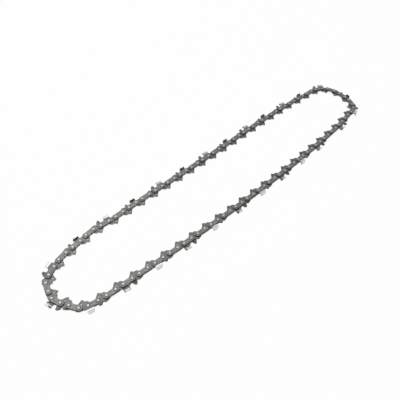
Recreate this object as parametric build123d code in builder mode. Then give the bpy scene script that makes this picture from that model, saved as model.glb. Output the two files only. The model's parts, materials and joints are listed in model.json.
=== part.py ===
"""Saw chain loop lying flat on its side: drive links, tie straps, left and right cutters, rivet heads."""
import os
from math import cos, pi, radians, sin

from build123d import *

# Link sizes in millimetres.
side_pitch = 9.9  # rivet spacing of a tie strap or cutter
drive_pitch = 8.7  # rivet spacing of a drive link
drive_plate = 1.3  # drive link thickness, which runs in the bar groove
plate = 1.2  # tie strap and cutter thickness
edge_in = 2.8  # rivet line to the plate edge that rides on the bar
edge_out = 2.9  # rivet line to the outer plate edge
end_round = 3.7  # rivet to the end of a plate
head_radius = 2.1
head_height = 0.5
tang_depth = 7.8  # rivet line to the tang tip
bumper = 5  # rivet line to the top of the bumper, on each drive link ahead of a cutter
cutter_height = 8  # rivet line to the cutting corner
gauge_drop = 0.8  # depth gauge tip below the cutting corner
flare = 1.2  # cutter side plate stands this far outside the strap face
top_width = 4.1  # top plate, across the chain
top_front = 0.9  # cutting corner behind the middle of the cutter
top_back = 7.6  # heel of the top plate behind the middle of the cutter
top_angle = 30  # cutting edge across the top plate, degrees
top_fall = 8  # top plate falls towards its heel, degrees

# Pivots that turn: a hub on the leading rivet of a plain pair, in a hole of the next drive link.
hub_radius = 2.1
hub_play = 0.1
face_play = 0.05
hub_sides = 8

# Side pairs in the order of travel, and how many belong to each rigid stretch of the loop.
unit = ["right", "tie", "left", "tie"]
pairs = unit * 6 + ["right", "tie", "tie"] + unit * 7
stretch_pairs = [8, 6, 6, 6, 11, 6, 6, 6]

# The loop's rivet line as it lies, in the order of travel: near end, front run, far end, rear run.
loop_points = [
    (-172, 40.5), (-190.5, 37), (-208.5, 33.5), (-216.5, 29.5), (-225, 25), (-231.5, 19), (-234.5, 9.5),
    (-236, 1), (-232.5, -8.5), (-228, -16.5), (-223, -24.5), (-215, -28.5), (-205, -30.5), (-187, -32),
    (-131, -35.5), (-38, -39.5), (54, -40.5), (129, -38.5), (166, -36.5), (185, -34.5), (203, -31.5),
    (221.5, -28), (228, -22.5), (232.5, -13.5), (236, 5), (233, 23), (227, 29.5), (218.5, 34),
    (200, 36.5), (163, 39), (51, 40), (-61, 39.8), (-117, 40), (-153.5, 40.5),
]
loop_shift = 0.32 + 0.01j  # brings the middle of the whole loop to the origin

middle = drive_plate / 2 + plate + flare  # height of the chain's middle plane, lying on the right cutters
face = drive_plate / 2  # inner face of a plate, from the middle plane

with BuildLine() as rivet_line:
    Spline(*loop_points, periodic=True)
line_steps = 3000
line_points = [rivet_line.line @ (step / line_steps) for step in range(line_steps)]
line_points = [complex(point.X, point.Y) + loop_shift for point in line_points]


def lay_chain(scale):
    """Step the links round the scaled rivet line; give the rivets and the line step of the last one."""
    path = [scale * point for point in line_points] * 3
    rivets = [path[0]]
    at = 0
    for link in range(2 * len(pairs)):
        pitch = side_pitch if link % 2 else drive_pitch
        here = rivets[-1]
        while abs(path[at + 1] - here) < pitch:
            at += 1
        short, past = abs(path[at] - here), abs(path[at + 1] - here)
        share = (pitch - short) / (past - short)
        aim = path[at] + share * (path[at + 1] - path[at]) - here
        rivets.append(here + pitch * aim / abs(aim))
    return rivets, at + share


# The line is scaled until the last link ends on the first rivet.
small, large = 0.6, 1.6
for halving in range(60):
    scale = (small + large) / 2
    rivets, reached = lay_chain(scale)
    if reached > line_steps:
        small = scale
    else:
        large = scale


def link_place(link):
    """Frame of a link: x from its leading to its trailing rivet, y outward, z up."""
    ahead, behind = rivets[link + 1], rivets[link]
    centre = (ahead + behind) / 2
    back = behind - ahead
    return Plane((centre.real, centre.imag, middle), x_dir=(back.real, back.imag, 0), z_dir=(0, 0, 1))


half = side_pitch / 2
end = half + end_round
strap_outline = [
    (-half - 2.2, -edge_in), (half + 2.2, -edge_in), (end, 0.4),
    (half + 1.6, edge_out), (-half - 1.6, edge_out), (-end, 0.4),
]
gauge_top = cutter_height - gauge_drop
cutter_outline = [
    (-half - 2.2, -edge_in), (half + 2.2, -edge_in), (end, 0.4), (top_back, edge_out), (-0.6, edge_out + 0.4),
    (-2.8, edge_out + 0.4), (-4.2, gauge_top), (-5.2, gauge_top), (-end + 0.2, edge_out), (-end, 0.4),
]
arm = drive_pitch / 2
drive_outline = [
    (-arm - 2.1, 3.2), (arm + 2.1, 3.2), (arm + 3.3, 0), (arm + 1.7, -3.2), (1.7, -tang_depth),
    (0.3, -tang_depth), (-3.4, -5.6), (-arm - 2.7, -2.6), (-arm - 3.3, 0.4),
]
bumper_outline = drive_outline[1:] + [(-arm - 1.6, 3.8), (-1.8, bumper), (0.6, 3.2)]
# Section of the cutter's working part, outward and up: side plate, flare, top plate.
flared = face + plate + flare
working_section = [
    (2.4, face), (2.4, face + plate), (edge_out + 0.5, face + plate), (edge_out + 1.9, flared),
    (cutter_height, flared), (cutter_height, flared - top_width),
    (cutter_height - plate, flared - top_width), (cutter_height - plate, flared - plate),
    (edge_out + 0.5, face),
]

with BuildPart() as upper_strap:
    with BuildSketch(Plane.XY.offset(face)):
        Polygon(*strap_outline, align=None)
    extrude(amount=plate)
    with BuildSketch(Plane.XY.offset(face + plate)):
        with Locations((-half, 0), (half, 0)):
            RegularPolygon(head_radius, 6)
    extrude(amount=head_height)

with BuildPart() as lower_strap:
    mirror(upper_strap.part, about=Plane.XY)

with BuildPart() as hinge_pair:
    add(upper_strap.part)
    add(lower_strap.part)
    with BuildSketch(Plane.XY.offset(-face)):
        with Locations((-half, 0)):
            RegularPolygon(hub_radius, hub_sides)
    extrude(amount=drive_plate)

with BuildPart() as drive_link:
    with BuildSketch(Plane.XY.offset(-face)):
        Polygon(*drive_outline, align=None)
    extrude(amount=drive_plate)

with BuildPart() as bumper_link:
    with BuildSketch(Plane.XY.offset(-face)):
        Polygon(*bumper_outline, align=None)
    extrude(amount=drive_plate)

with BuildPart() as hinge_link:
    add(drive_link.part)
    with Locations((arm, 0, face), (arm, 0, -face)):
        Box(2 * arm, 2.2 * tang_depth, 2 * face_play, mode=Mode.SUBTRACT)
    with BuildSketch(Plane.XY.offset(-face)):
        with Locations((arm, 0)):
            RegularPolygon((hub_radius + hub_play) / cos(pi / hub_sides), hub_sides)
    extrude(amount=drive_plate, mode=Mode.SUBTRACT)

with BuildPart() as left_cutter:
    fall = radians(top_fall)
    with BuildSketch(Plane((top_front, 0, 0), x_dir=(sin(fall), cos(fall), 0),
                           z_dir=(cos(fall), -sin(fall), 0))):
        Polygon(*working_section, align=None)
    extrude(amount=top_back - top_front)
    slant = radians(top_angle)
    split(bisect_by=Plane((top_front, 0, flared), z_dir=(cos(slant), 0, sin(slant))), keep=Keep.TOP)
    with BuildSketch(Plane.XY.offset(face)):
        Polygon(*cutter_outline, align=None)
    extrude(amount=plate)
    with BuildSketch(Plane.XY.offset(face + plate)):
        with Locations((-half, 0), (half, 0)):
            RegularPolygon(head_radius, 6)
    extrude(amount=head_height)

with BuildPart() as right_cutter:
    mirror(left_cutter.part, about=Plane.XY)

os.makedirs("parts", exist_ok=True)
cutters = {"left": 0, "right": 0}
first = 0
for number, count in enumerate(stretch_pairs, start=1):
    stretch = range(first, first + count)
    first += count

    with BuildPart() as drive_links:
        for pair in stretch:
            with Locations(link_place(2 * pair)):
                if pair == stretch[0]:
                    add(hinge_link.part)
                else:
                    add(drive_link.part if pairs[pair - 1] == "tie" else bumper_link.part)
    drive_links.part.label = f"drive_links_{number}"
    export_step(drive_links.part, f"parts/drive_links_{number}.step")

    with BuildPart() as tie_straps:
        for pair in stretch:
            with Locations(link_place(2 * pair + 1)):
                if pair == stretch[-1]:
                    add(hinge_pair.part)
                    continue
                if pairs[pair] != "left":
                    add(upper_strap.part)
                if pairs[pair] != "right":
                    add(lower_strap.part)
    tie_straps.part.label = f"tie_straps_{number}"
    export_step(tie_straps.part, f"parts/tie_straps_{number}.step")

    for pair in stretch:
        hand = pairs[pair]
        if hand == "tie":
            continue
        cutters[hand] += 1
        with BuildPart() as cutter:
            with Locations(link_place(2 * pair + 1)):
                add(left_cutter.part if hand == "left" else right_cutter.part)
        cutter.part.label = f"{hand}_cutter_{cutters[hand]}"
        export_step(cutter.part, f"parts/{cutter.part.label}.step")
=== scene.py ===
import json
from math import asin, cos, degrees, pi, radians, sin, tan

import bpy
from mathutils import Matrix, Vector


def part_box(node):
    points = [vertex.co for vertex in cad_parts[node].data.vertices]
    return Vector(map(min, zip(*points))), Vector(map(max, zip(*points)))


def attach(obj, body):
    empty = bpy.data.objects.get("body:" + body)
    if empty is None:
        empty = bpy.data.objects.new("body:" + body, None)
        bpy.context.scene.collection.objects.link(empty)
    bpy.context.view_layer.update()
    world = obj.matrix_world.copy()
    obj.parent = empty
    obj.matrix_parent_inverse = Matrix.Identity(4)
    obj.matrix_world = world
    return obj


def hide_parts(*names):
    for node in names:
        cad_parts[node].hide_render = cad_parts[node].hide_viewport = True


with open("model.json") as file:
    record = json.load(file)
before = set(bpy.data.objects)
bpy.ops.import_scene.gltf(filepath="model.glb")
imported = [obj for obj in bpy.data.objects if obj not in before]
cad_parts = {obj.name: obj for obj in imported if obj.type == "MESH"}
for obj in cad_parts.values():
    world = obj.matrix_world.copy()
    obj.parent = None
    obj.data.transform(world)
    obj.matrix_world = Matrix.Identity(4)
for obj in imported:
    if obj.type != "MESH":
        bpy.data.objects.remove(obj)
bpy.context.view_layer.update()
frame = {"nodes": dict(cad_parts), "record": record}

record = frame["record"]
bodies = record["behaviour"]["bodies"]
body_of = {node: body for body, nodes in bodies.items() for node in nodes}

# Sizes that the links share, in metres.
mm = 0.001
side_pitch = 9.9 * mm  # rivet spacing of a tie strap or cutter
drive_pitch = 8.7 * mm  # rivet spacing of a drive link
half = side_pitch / 2
arm = drive_pitch / 2
face = 0.65 * mm  # half of a drive link's thickness
plate = 1.2 * mm  # thickness of a tie strap or cutter
bore_radius = 1.55 * mm

# The rivet heads reach to the top and the bottom of the tie strap solids.
head_radius = 2.1 * mm
head_low, head_high = (corner[2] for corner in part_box("tie_straps_1"))
middle = (head_low + head_high) / 2

# The flared cutters hold the outer side of the chain up, and its inner side lies on the rivet heads.
lean = radians(4.7)
sink = 0.49 * mm


# Where each rivet and link lies, read from the solids.

def head_places(height):
    """Middle of each rivet head whose outer face is at this height, with the node that carries it."""
    same_level = 0.005 * mm
    across = 2.05 * head_radius
    places = []
    for name, node in frame["nodes"].items():
        corners = [vertex.co.xy for vertex in node.data.vertices if abs(vertex.co.z - height) < same_level]
        while corners:
            first = corners[0]
            head = [corner for corner in corners if (corner - first).length < across]
            corners = [corner for corner in corners if (corner - first).length >= across]
            xs = [corner.x for corner in head]
            ys = [corner.y for corner in head]
            places.append((Vector((min(xs) + max(xs), min(ys) + max(ys))) / 2, name))
    return places


def walk_loop(heads):
    """The heads in the order of travel. The first two share a drive link, which has the shorter pitch."""
    left = list(heads)
    ring = [left.pop()]
    while left:
        nearest = min(left, key=lambda head: (head[0] - ring[-1][0]).length)
        left.remove(nearest)
        ring.append(nearest)
    turning = sum(a[0].cross(b[0]) for a, b in zip(ring, ring[1:] + ring[:1]))
    return ring if turning > 0 else ring[::-1]


def node_at(heads, place):
    """The node that carries the head at this place."""
    return min(heads, key=lambda head: (head[0] - place).length)[1]


def link_place(behind, ahead):
    """Frame of a link as it lies: x from its leading to its trailing rivet, y outward, z up."""
    back = (behind - ahead).normalized().to_3d()
    out = Vector((-back.y, back.x, 0))
    centre = ((behind + ahead) / 2).to_3d() + Vector((0, 0, middle - sink))
    turned = Matrix((back, out, Vector((0, 0, 1)))).transposed().to_4x4()
    return Matrix.Translation(centre) @ turned @ Matrix.Rotation(lean, 4, "X")


# Small helpers for modelling.

def deselect():
    """Select nothing, so that the next operator acts on its own piece alone."""
    bpy.ops.object.select_all(action="DESELECT")


def take(*pieces):
    """Select these pieces alone, and make the first one active."""
    deselect()
    for piece in pieces:
        piece.select_set(True)
    bpy.context.view_layer.objects.active = pieces[0]


def apply_modifier(piece, kind, **settings):
    """Add a modifier to a piece, set it and apply it."""
    take(piece)
    modifier = piece.modifiers.new(kind.title(), kind)
    for name, value in settings.items():
        setattr(modifier, name, value)
    bpy.ops.object.modifier_apply(modifier=modifier.name)


def break_edges(piece, width):
    """Bevel the sharp edges of a piece."""
    apply_modifier(piece, "BEVEL", width=width, segments=1, limit_method="ANGLE", angle_limit=radians(40))


def cut_away(piece, tool):
    """Cut a tool's shape out of a piece, and put the tool away."""
    apply_modifier(piece, "BOOLEAN", operation="DIFFERENCE", solver="EXACT", object=tool)
    bpy.data.objects.remove(tool)


def join(pieces, name):
    """Make several pieces one, under this name."""
    take(*pieces)
    if len(pieces) > 1:
        bpy.ops.object.join()
    pieces[0].name = name
    pieces[0].data.name = name
    return pieces[0]


def recalculate(piece):
    """Merge the doubles of a mesh and point its faces outward."""
    take(piece)
    bpy.ops.object.mode_set(mode="EDIT")
    bpy.ops.mesh.select_all(action="SELECT")
    bpy.ops.mesh.remove_doubles(threshold=0.001 * mm)
    bpy.ops.mesh.normals_make_consistent(inside=False)
    bpy.ops.object.mode_set(mode="OBJECT")


def turned_over(piece):
    """The piece, mirrored to the other side of the chain's middle plane."""
    piece.data.transform(Matrix.Scale(-1, 4, (0, 0, 1)))
    recalculate(piece)
    return piece


def arc(centre, radius, start, stop, steps=8):
    """Points along a round stretch of an outline, by angle in degrees."""
    angles = [radians(start + (stop - start) * step / steps) for step in range(steps + 1)]
    return [(centre[0] + radius * cos(angle), centre[1] + radius * sin(angle)) for angle in angles]


def rounded(corners, steps=4):
    """Outline through corners in millimetres, each cut back by its third number and rounded."""
    outline = []
    for number, (x, y, cut) in enumerate(corners):
        corner = Vector((x, y))
        if cut == 0:
            outline.append(corner * mm)
            continue
        before = Vector(corners[number - 1][:2]) - corner
        after = Vector(corners[(number + 1) % len(corners)][:2]) - corner
        start = corner + before.normalized() * cut
        stop = corner + after.normalized() * cut
        for step in range(steps + 1):
            t = step / steps
            outline.append((start * (1 - t) ** 2 + corner * 2 * t * (1 - t) + stop * t ** 2) * mm)
    return outline


def flat_sheet(name, outline, height):
    """A flat face with this outline."""
    deselect()
    bpy.ops.mesh.primitive_circle_add(vertices=len(outline), fill_type="NGON")
    sheet = bpy.context.object
    sheet.name = name
    for vertex, (x, y) in zip(sheet.data.vertices, outline):
        vertex.co = (x, y, height)
    return sheet


def stamped_plate(name, outline, low, high):
    """A flat plate with this outline, between two heights."""
    blank = flat_sheet(name, outline, low)
    bpy.ops.object.mode_set(mode="EDIT")
    bpy.ops.mesh.select_all(action="SELECT")
    bpy.ops.mesh.extrude_region_move(TRANSFORM_OT_translate={"value": (0, 0, high - low)})
    bpy.ops.object.mode_set(mode="OBJECT")
    recalculate(blank)
    return blank


def drills(holes, length):
    """Round tools standing along z, one for each (x, y, radius)."""
    tools = []
    for x, y, radius in holes:
        deselect()
        bpy.ops.mesh.primitive_cylinder_add(vertices=12, radius=radius, depth=length, location=(x, y, 0))
        bpy.ops.object.transform_apply()
        tools.append(bpy.context.object)
    return join(tools, "drills")


def paint_faces(piece, finishes, choose):
    """Give each face the finish that choose names from its middle, in millimetres, and its normal."""
    for finish in finishes.values():
        piece.data.materials.append(finish)
    order = list(finishes)
    for polygon in piece.data.polygons:
        polygon.material_index = order.index(choose(polygon.center / mm, polygon.normal))


# Finishes.

mottle_size = 1.3 * mm
drift_size = 28 * mm
gloss_size = 2.2 * mm
gloss_spread = 0.08  # the roughness varies by this much either way
grain_size = 0.25 * mm
grain_depth = 0.05 * mm


def steel_finish(name, dark, light, roughness, tint=None):
    """Worked steel: mottled between two colours, with fine grain, uneven gloss and, if given, a tint."""
    material = bpy.data.materials.new(name)
    material.use_nodes = True
    nodes, links = material.node_tree.nodes, material.node_tree.links
    shader = nodes["Principled BSDF"]
    shader.inputs["Metallic"].default_value = 1
    place = nodes.new("ShaderNodeTexCoord").outputs["Object"]

    def noise(size, detail):
        texture = nodes.new("ShaderNodeTexNoise")
        texture.inputs["Scale"].default_value = 1 / size
        texture.inputs["Detail"].default_value = detail
        links.new(place, texture.inputs["Vector"])
        return texture.outputs["Fac"]

    ramp = nodes.new("ShaderNodeValToRGB")
    ramp.color_ramp.elements[0].position = 0.3
    ramp.color_ramp.elements[0].color = (*dark, 1)
    ramp.color_ramp.elements[1].position = 0.7
    ramp.color_ramp.elements[1].color = (*light, 1)
    links.new(noise(mottle_size, detail=3), ramp.inputs["Fac"])
    colour = ramp.outputs["Color"]
    if tint:
        drift = nodes.new("ShaderNodeMix")
        drift.data_type = "RGBA"
        drift.blend_type = "MULTIPLY"
        drift.inputs["B"].default_value = (*tint, 1)
        links.new(noise(drift_size, detail=1), drift.inputs["Factor"])
        links.new(colour, drift.inputs["A"])
        colour = drift.outputs["Result"]
    links.new(colour, shader.inputs["Base Color"])

    gloss = nodes.new("ShaderNodeMapRange")
    gloss.inputs["To Min"].default_value = roughness - gloss_spread
    gloss.inputs["To Max"].default_value = roughness + gloss_spread
    links.new(noise(gloss_size, detail=2), gloss.inputs["Value"])
    links.new(gloss.outputs["Result"], shader.inputs["Roughness"])

    bump = nodes.new("ShaderNodeBump")
    bump.inputs["Strength"].default_value = 0.15
    bump.inputs["Distance"].default_value = grain_depth
    links.new(noise(grain_size, detail=2), bump.inputs["Height"])
    links.new(bump.outputs["Normal"], shader.inputs["Normal"])
    return material


# Faces of the links.
strap_steel = steel_finish(
    "strap_steel", (0.09, 0.09, 0.086), (0.215, 0.215, 0.206), 0.42, tint=(1.0, 0.99, 0.94))
drive_steel = steel_finish(
    "drive_steel", (0.08, 0.08, 0.078), (0.175, 0.175, 0.168), 0.42, tint=(0.98, 1.0, 0.95))
cutter_steel = steel_finish(
    "cutter_steel", (0.09, 0.0915, 0.0915), (0.195, 0.197, 0.196), 0.46, tint=(0.98, 0.99, 1.0))
# Steel painted bright: painted light on inner faces in the shade between the plates, and a painted
# reflection of the white floor on the lower side's edges and the drive links' tang edges.
bright_steel = steel_finish("bright_steel", (0.80, 0.80, 0.79), (0.92, 0.92, 0.91), 0.25)

# Working part of a cutter.
# Chrome of the working part and its lip, also painted into the two dents of the plate as a painted
# highlight.
cutter_chrome = steel_finish("cutter_chrome", (0.40, 0.405, 0.41), (0.54, 0.545, 0.55), 0.3)
# The top plate's outer face: chrome painted brighter than the rest, a painted highlight.
chrome_painted_highlight = steel_finish("chrome_painted_highlight", (0.58, 0.585, 0.59), (0.70, 0.705, 0.71), 0.22)
ground_edge = steel_finish("ground_edge", (0.06, 0.06, 0.063), (0.12, 0.12, 0.125), 0.3)
# A tone between the cutter steel and the chrome, on the slopes of the flare.
slope_tone = steel_finish("slope_tone", (0.15, 0.15, 0.148), (0.25, 0.25, 0.246), 0.4)
# Painted light on the inner faces of the flared side plate and of the depth gauge, in the shade under the
# strap.
recess_painted_light = steel_finish("recess_painted_light", (0.27, 0.27, 0.266), (0.39, 0.39, 0.384), 0.38)
# Painted shade on the underside of the top plate, which faces the chain.
underside_painted_shade = steel_finish("underside_painted_shade", (0.03, 0.03, 0.029), (0.065, 0.065, 0.063), 0.4)

# Stamped edges. The first three are painted dark, as painted shade.
edge_painted_shade = steel_finish("edge_painted_shade", (0.016, 0.016, 0.016), (0.045, 0.045, 0.043), 0.4)
back_edge_painted_shade = steel_finish("back_edge_painted_shade", (0.06, 0.06, 0.058), (0.12, 0.12, 0.117), 0.4)
strap_edge_painted_shade = steel_finish("strap_edge_painted_shade", (0.032, 0.032, 0.031), (0.075, 0.075, 0.072), 0.4)
strap_end = steel_finish("strap_end", (0.10, 0.10, 0.096), (0.19, 0.19, 0.182), 0.4)

# Rivets.
# Rivet heads: the middle painted bright as a painted highlight, a grey ring, and the sides painted dark as
# painted shade.
rivet_face_painted_highlight = steel_finish("rivet_face_painted_highlight", (0.305, 0.305, 0.298), (0.435, 0.435, 0.426), 0.42)
rivet_ring = steel_finish("rivet_ring", (0.20, 0.20, 0.194), (0.30, 0.30, 0.291), 0.4)
rivet_rim_painted_shade = steel_finish("rivet_rim_painted_shade", (0.06, 0.06, 0.058), (0.13, 0.13, 0.126), 0.4)


# Tie strap.

end_round = 3.65 * mm
edge_in = 2.8 * mm  # rivet line to the edge that rides on the bar
edge_out = 3.1 * mm  # rivet line to the outer edge
waist = [(-1.8 * mm, -2.7 * mm), (1.8 * mm, -2.7 * mm)]


def strap_finish(at, normal):
    """Finish of a face of a tie strap."""
    # Edges take the given finish: painted shade on the upper strap, and a painted reflection of the floor
    # on the lower one.
    if abs(normal.z) < 0.8:
        return "end" if at.y < 0 and abs(at.x) > 3 else "edge"
    return "steel" if normal.z > 0 else "inner"


def model_strap(edge, end):
    """Tie strap of the upper side: round ends, a slight waist, and an inner face painted bright as painted
    light against the shade between the plates.
    """
    low = degrees(asin(edge_in / end_round))
    high = degrees(asin(edge_out / end_round))
    outline = arc((half, 0), end_round, -low, high)
    outline += arc((-half, 0), end_round, 180 - high, 180 + low)
    outline += waist
    strap = stamped_plate("strap", outline, face, face + plate)
    break_edges(strap, 0.2 * mm)
    cut_away(strap, drills([(-half, 0, bore_radius), (half, 0, bore_radius)], length=6 * mm))
    finishes = {"steel": strap_steel, "edge": edge, "inner": bright_steel, "end": end}
    paint_faces(strap, finishes, strap_finish)
    return strap


# Drive link, in millimetres. The one ahead of each cutter has a bumper on its back.

plain_back = [(-7.6, 3.1, 2.6)]
bumper_back = [(0.9, 3.1, 0.8), (-0.7, 4.9, 0.9), (-2.6, 4.8, 0.9), (-6.2, 3.5, 1.2)]
oil_hole = Vector((2.0, -4.3))
oil_radius = 0.85


def drive_finish(at, normal):
    """Finish of a face of a drive link."""
    if abs(normal.z) > 0.5:
        return "steel"
    if (at.xy - oil_hole).length < oil_radius + 0.05:
        return "hole"
    return "back" if at.y > 1 else "edge"


def model_drive_link(name, back):
    """Drive link: two rivet holes, a hooked tang with its oil hole, and the back that is given."""
    outline = rounded([
        (0.0, -8.2, 0.5), (1.4, -8.2, 0.6), (4.6, -4.7, 1.2), (6.6, -2.9, 1.2), (7.6, -0.6, 1.2),
        (7.6, 3.1, 2.4), *back, (-7.6, -1.6, 1.6), (-5.2, -4.9, 0.9), (-3.8, -6.0, 0.8), (-1.2, -6.05, 0.8),
    ])
    link = stamped_plate(name, outline, -face, face)
    break_edges(link, 0.1 * mm)
    holes = [(-arm, 0, bore_radius), (arm, 0, bore_radius), (*oil_hole * mm, oil_radius * mm)]
    cut_away(link, drills(holes, length=4 * mm))
    # The tang edges are painted bright as a painted reflection of the floor. The back edges, in the gap
    # between the side links, and the oil hole's wall are painted dark as painted shade.
    finishes = {"steel": drive_steel, "edge": bright_steel, "back": back_edge_painted_shade, "hole": edge_painted_shade}
    paint_faces(link, finishes, drive_finish)
    return link


# Cutter, as a left one, in millimetres and degrees.

top_height = 8.0  # rivet line to the top plate
top_front = 0.9  # cutting corner behind the middle of the cutter
top_back = 7.9  # heel of the top plate
top_angle = 27  # cutting edge across the top plate
top_fall = 4  # the top plate falls towards its heel
top_middle = 0.1  # row along the top plate, above the chain's middle
lip = -0.95  # free edge of the top plate, past the chain's middle
fold_radius = 0.65  # inside the fold from the side plate to the top plate
side_up = 1.85  # inner face of the side plate above the chain's middle
side_taper = 0.3  # the side plate comes back in by this much at its heel
heel_taper = 0.25  # the heel comes forward by this share of its distance from the side plate
seat = 3.2  # the working part leaves the plate on this line
seat_front = -0.6
seat_back = 8.2
# Rows of the flare: outward, upward, and the share of the way from the seat to the side plate.
flare = [(3.4, 0.7, 0.1), (4.4, 1.45, 0.8), (4.8, 1.58, 1)]

gauge_foot = 3.4  # rivet line to the crease at the foot of the depth gauge
gauge_painted_light = 4.3  # the inner face of the gauge is painted light up to here, against the shade under the strap
left_gauge = 18  # outward lean of the gauge from its foot
right_gauge = -6

file_radius = 2.0
file_below = 1.2  # middle of the file under the top plate
file_length = 16

dent_line = 1.0  # rivet line to the two shallow dents
dent_places = (-0.8, 1.5)
dent_radius = 0.65
dent_above = 0.35  # middle of the punch over the plate


def working_rows():
    """Inner surface of the working part, row by row from the plate to the lip of the top plate."""
    top_inner = top_height - plate / mm
    turn = top_inner - fold_radius
    section = [(seat, face / mm, 0), *flare, (turn, side_up, 1)]
    for bend in (pi / 6, pi / 3, pi / 2):
        section.append((turn + fold_radius * sin(bend), side_up - fold_radius * (1 - cos(bend)), 1))
    section += [(top_inner, top_middle, 1), (top_inner, lip, 1)]
    rows = []
    for out, up, share in section:
        inward = max(0, side_up - up) * share
        front = seat_front + (top_front - seat_front) * share + inward * tan(radians(top_angle))
        back = seat_back + (top_back - seat_back) * share - inward * heel_taper
        fall = share * (back - front) * tan(radians(top_fall))
        rows.append(((front, out, up), (back, out - fall, up - share * side_taper)))
    return rows


def model_fold():
    """Inner surface of the working part: side plate flared outward, top plate folded across the chain."""
    rows = working_rows()
    deselect()
    bpy.ops.mesh.primitive_grid_add(x_subdivisions=1, y_subdivisions=len(rows) - 1)
    fold = bpy.context.object
    corners = [corner for row in rows for corner in row]
    for vertex, corner in zip(fold.data.vertices, corners):
        vertex.co = Vector(corner) * mm
    return fold


def model_base(bend):
    """Inner surface of the riveted plate, with its depth gauge bent outward at the crease."""
    outline = rounded([
        (-8.0, -2.8, 1.5), (-2.6, -2.55, 1.0), (2.6, -2.55, 1.0), (8.55, -2.8, 2.6), (8.6, 1.8, 1.2),
        (seat_back, seat, 0), (seat_front, seat, 0),
        (-3.1, 3.2, 0.7), (-4.3, 6.8, 0.5), (-6.1, 6.8, 0.8), (-8.6, 3.6, 1.2), (-8.6, -0.3, 0.9),
    ])
    base = flat_sheet("base", outline, face)
    bpy.ops.object.mode_set(mode="EDIT")
    for height in (gauge_foot, gauge_painted_light):
        bpy.ops.mesh.select_all(action="SELECT")
        bpy.ops.mesh.bisect(plane_co=(0, height * mm, 0), plane_no=(0, 1, 0))
    bpy.ops.object.mode_set(mode="OBJECT")
    for vertex in base.data.vertices:
        vertex.co.z += max(0, vertex.co.y - gauge_foot * mm) * tan(radians(bend))
    return base


def round_file():
    """The round file that grinds the hollow under the cutting edge."""
    ahead = (file_radius ** 2 - file_below ** 2) ** 0.5 / cos(radians(top_angle))
    centre = Vector((top_front - ahead, top_height - file_below, side_up)) * mm
    deselect()
    bpy.ops.mesh.primitive_cylinder_add(vertices=24, radius=file_radius * mm, depth=file_length * mm)
    tool = bpy.context.object
    tool.data.transform(Matrix.Translation(centre) @ Matrix.Rotation(-radians(top_angle), 4, "Y"))
    return tool


def dent_punch():
    """The round punches that leave the two dents."""
    punches = []
    for x in dent_places:
        deselect()
        bpy.ops.mesh.primitive_uv_sphere_add(segments=10, ring_count=6, radius=dent_radius * mm)
        punch = bpy.context.object
        centre = Vector((x * mm, dent_line * mm, face + plate + dent_above * mm))
        punch.data.transform(Matrix.Translation(centre))
        punches.append(punch)
    return join(punches, "dent_punch")


def working_finish(at, normal):
    """Finish of a face of the side plate or the top plate."""
    if normal.x < -0.6:
        return "ground"
    if normal.x > 0.6:
        return "edge"
    if at.y > 6 and normal.y > 0.6:
        return "top"
    # The underside of the top plate is painted shade, and the inner face of the flared side plate is
    # painted light.
    if at.y > 5.5 and normal.y < -0.6:
        return "under"
    if normal.z < -0.5:
        if at.z < 0:
            return "lip"
        return "recess" if at.y > 4.7 else "slope"
    return "chrome" if at.y > 4.5 and normal.z > 0.6 else "slope"


def in_highlight_dent(at):
    """Whether a face of the plate lies in a dent, below the plate's outer face. These faces are painted
    chrome, a painted highlight.
    """
    return abs(at.x) < 2.4 and abs(at.y - dent_line) < 0.7 and 1.2 < at.z < 1.83


def plate_finish(at, normal):
    """Finish of a face of the riveted plate or the depth gauge."""
    # The dents are painted chrome, a painted highlight.
    if in_highlight_dent(at):
        return "chrome"
    # The plate's inner face is painted light against the shade of the strap. Its edges are painted shade,
    # and the right cutters' body edges are painted bright as a reflection of the floor.
    if abs(normal.z) > 0.8 or at.y > 2 and normal.z > 0.5:
        if normal.z > 0 or at.y > gauge_painted_light:
            return "steel"
        return "recess" if at.y > gauge_foot else "inner"
    return "edge" if at.y > 3.6 else "side"


def cutter_finish(at, normal):
    """Finish of a face of a cutter."""
    if at.y > seat and at.x > seat_front:
        return working_finish(at, normal)
    return plate_finish(at, normal)


def model_cutter(bend, plate_edge):
    """Cutter: riveted plate with its depth gauge, flared side plate and folded top plate."""
    cutter = join([model_base(bend), model_fold()], "cutter")
    recalculate(cutter)
    lowest = min(cutter.data.polygons, key=lambda polygon: polygon.center.y)
    if lowest.normal.z < 0:
        cutter.data.flip_normals()
    apply_modifier(cutter, "SOLIDIFY", thickness=plate, offset=1, use_even_offset=True)
    break_edges(cutter, 0.15 * mm)
    cut_away(cutter, drills([(-half, 0, bore_radius), (half, 0, bore_radius)], length=8 * mm))
    cut_away(cutter, round_file())
    cut_away(cutter, dent_punch())
    # Among these, edge and under are painted shade, inner and recess are painted light, and top and the
    # dents' chrome are painted highlights.
    finishes = {
        "steel": cutter_steel, "edge": edge_painted_shade, "side": plate_edge, "inner": bright_steel,
        "under": underside_painted_shade, "ground": ground_edge, "chrome": cutter_chrome, "top": chrome_painted_highlight,
        "lip": cutter_chrome, "slope": slope_tone, "recess": recess_painted_light,
    }
    paint_faces(cutter, finishes, cutter_finish)
    return cutter


# Rivet. Each step of its head is a rise and the radius there.

shank_radius = 1.5 * mm
head_steps = [(0, 2.05 * mm), (0.38 * mm, 1.6 * mm), (0.07 * mm, 1.2 * mm), (0.05 * mm, 0.8 * mm)]


def rivet_finish(at, normal):
    """Finish of a face of a rivet."""
    # The sides of the head are painted shade, and its middle a painted highlight.
    if abs(normal.z) < 0.85 or abs(at.z) < 1.9:
        return "rim"
    return "face" if at.xy.length < 1.15 else "ring"


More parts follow.
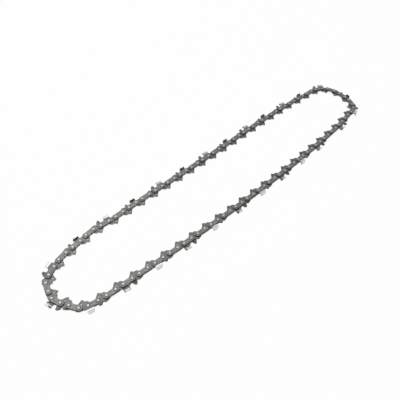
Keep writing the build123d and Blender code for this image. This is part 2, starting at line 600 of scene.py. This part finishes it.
def model_rivet():
    """Rivet: a shank through the chain and a low round head on each plate."""
    deselect()
    bpy.ops.mesh.primitive_cylinder_add(vertices=16, radius=shank_radius, depth=2 * (face + plate))
    rivet = bpy.context.object
    for upward in (1, -1):
        bpy.ops.object.mode_set(mode="EDIT")
        bpy.ops.mesh.select_mode(type="FACE")
        bpy.ops.mesh.select_all(action="DESELECT")
        bpy.ops.object.mode_set(mode="OBJECT")
        cap = max(rivet.data.polygons, key=lambda polygon: upward * polygon.center.z)
        cap.select = True
        bpy.ops.object.mode_set(mode="EDIT")
        was = shank_radius
        for rise, radius in head_steps:
            bpy.ops.mesh.extrude_region_move(TRANSFORM_OT_translate={"value": (0, 0, upward * rise)})
            bpy.ops.transform.resize(value=(radius / was, radius / was, 1))
            was = radius
        bpy.ops.object.mode_set(mode="OBJECT")
    recalculate(rivet)
    paint_faces(rivet, {"face": rivet_face_painted_highlight, "ring": rivet_ring, "rim": rivet_rim_painted_shade}, rivet_finish)
    return rivet


# One master of each link. Plate edges on the lower side are painted bright, a painted reflection of the
# white floor, and those on the upper side are painted dark as shade.
upper_strap = model_strap(strap_edge_painted_shade, strap_end)
lower_strap = turned_over(model_strap(bright_steel, bright_steel))
drive_link = model_drive_link("drive_link", plain_back)
bumper_link = model_drive_link("bumper_link", bumper_back)
left_cutter = model_cutter(left_gauge, edge_painted_shade)
right_cutter = turned_over(model_cutter(right_gauge, bright_steel))
rivet = model_rivet()
masters = (upper_strap, lower_strap, drive_link, bumper_link, left_cutter, right_cutter, rivet)
for master in masters:
    take(master)
    bpy.ops.object.shade_smooth_by_angle(angle=radians(32))

# Which master goes where. A drive link ends at every second rivet, and the side links start there.
upper_heads = walk_loop(head_places(head_high))
lower_heads = head_places(head_low)
count = len(upper_heads)
jobs = {}
rivet_jobs = {}
for start in range(1, count, 2):
    behind, upper = upper_heads[start]
    ahead = upper_heads[(start + 1) % count][0]
    lower = node_at(lower_heads, behind)
    body = body_of[upper]
    side_place = link_place(behind, ahead)
    upper_master = left_cutter if upper.startswith("left") else upper_strap
    lower_master = right_cutter if lower.startswith("right") else lower_strap
    jobs.setdefault(upper, []).append((upper_master, side_place))
    jobs.setdefault(lower, []).append((lower_master, side_place))

    # The drive link has a bumper where one of the side links behind it is a cutter.
    drive_place = link_place(upper_heads[start - 1][0], behind)
    follower = upper_heads[start - 2][0]
    cutter_behind = any("cutter" in node_at(heads, follower) for heads in (upper_heads, lower_heads))
    drive_master = bumper_link if cutter_behind else drive_link
    jobs.setdefault(body.replace("stretch", "drive_links"), []).append((drive_master, drive_place))

    for along in (half, -half):
        rivet_jobs.setdefault(body, []).append((rivet, side_place @ Matrix.Translation((along, 0, 0))))


def lay_out(name, placed, body):
    """One finished piece from copies of the masters at their places."""
    copies = []
    for master, place in placed:
        copy = master.copy()
        copy.data = master.data.copy()
        copy.data.transform(place)
        bpy.context.collection.objects.link(copy)
        copies.append(copy)
    piece = join(copies, name)
    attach(piece, body)
    return piece


for node, placed in jobs.items():
    piece = lay_out(f"finished_{node}", placed, body_of[node])
    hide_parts(node)
for body, placed in rivet_jobs.items():
    piece = lay_out(body.replace("stretch", "rivets"), placed, body)
for master in masters:
    bpy.data.objects.remove(master)


# Floor, light and camera.

floor_share = 0.97  # share of plain white where the floor is seen, and the rest takes the shadow
floor_drop = 0.05 * mm  # the floor lies this far under the chain
room_light = 0.6  # strength of the white room as light


def seen_or_mirrored(nodes, links):
    """1 where the camera sees a surface directly, in a reflection or through glass, and 0 elsewhere."""
    rays = nodes.new("ShaderNodeLightPath")
    result = rays.outputs["Is Camera Ray"]
    for other in ("Is Glossy Ray", "Is Transmission Ray"):
        either = nodes.new("ShaderNodeMath")
        either.operation = "MAXIMUM"
        links.new(result, either.inputs[0])
        links.new(rays.outputs[other], either.inputs[1])
        result = either.outputs["Value"]
    return result


def white_floor():
    """Pale floor, white to the camera and in reflections, that still takes a faint shadow."""
    deselect()
    bpy.ops.mesh.primitive_plane_add(size=8, location=(0, 0, -floor_drop))
    floor = bpy.context.object
    floor.name = "floor"
    material = bpy.data.materials.new("floor_white")
    material.use_nodes = True
    nodes, links = material.node_tree.nodes, material.node_tree.links
    nodes.clear()
    share = nodes.new("ShaderNodeMath")
    share.operation = "MULTIPLY"
    share.inputs[1].default_value = floor_share
    links.new(seen_or_mirrored(nodes, links), share.inputs[0])
    matt = nodes.new("ShaderNodeBsdfDiffuse")
    matt.inputs["Color"].default_value = (0.85, 0.85, 0.85, 1)
    white = nodes.new("ShaderNodeEmission")
    mix = nodes.new("ShaderNodeMixShader")
    links.new(share.outputs["Value"], mix.inputs["Fac"])
    links.new(matt.outputs["BSDF"], mix.inputs[1])
    links.new(white.outputs["Emission"], mix.inputs[2])
    output = nodes.new("ShaderNodeOutputMaterial")
    links.new(mix.outputs["Shader"], output.inputs["Surface"])
    floor.data.materials.append(material)


def white_room():
    """White room: full white where it is seen or mirrored, softer as light."""
    world = bpy.data.worlds.new("studio")
    world.use_nodes = True
    nodes, links = world.node_tree.nodes, world.node_tree.links
    background = nodes["Background"]
    background.inputs["Color"].default_value = (1, 1, 1, 1)
    strength = nodes.new("ShaderNodeMapRange")
    strength.inputs["To Min"].default_value = room_light
    strength.inputs["To Max"].default_value = 1
    links.new(seen_or_mirrored(nodes, links), strength.inputs["Value"])
    links.new(strength.outputs["Result"], background.inputs["Strength"])
    bpy.context.scene.world = world


def soft_light(name, place, aim, size, power):
    """Round area lamp at a place, turned towards a point."""
    lamp = bpy.data.lights.new(name, "AREA")
    lamp.shape = "DISK"
    lamp.size = size
    lamp.energy = power
    holder = bpy.data.objects.new(name, lamp)
    holder.location = place
    holder.rotation_euler = (Vector(aim) - Vector(place)).to_track_quat("-Z", "Y").to_euler()
    bpy.context.collection.objects.link(holder)


def look_down(place, heading, below, roll, lens):
    """Camera at a place, turned by these angles in degrees: heading from x, below the level, roll."""
    heading, below, roll = radians(heading), radians(below), radians(roll)
    forward = Vector((cos(below) * cos(heading), cos(below) * sin(heading), -sin(below)))
    level = Vector((sin(heading), -cos(heading), 0))
    upright = level.cross(forward)
    right = level * cos(roll) + upright * sin(roll)
    up = upright * cos(roll) - level * sin(roll)
    camera = bpy.data.objects.new("camera", bpy.data.cameras.new("camera"))
    camera.data.sensor_fit = "HORIZONTAL"
    camera.data.sensor_width = 36
    camera.data.lens = lens
    camera.data.clip_start = 0.01
    turned = Matrix((right, up, -forward)).transposed().to_4x4()
    camera.matrix_world = Matrix.Translation(place) @ turned
    bpy.context.collection.objects.link(camera)
    bpy.context.scene.camera = camera


white_floor()
white_room()
soft_light("window", place=(-0.02, 0.62, 1.0), aim=(-0.15, 0, 0), size=0.8, power=2.9)
look_down(place=(-0.2689, -0.2260, 0.3612), heading=45.43, below=49.07, roll=1.22, lens=38.03)
bpy.context.scene.view_settings.view_transform = "Standard"
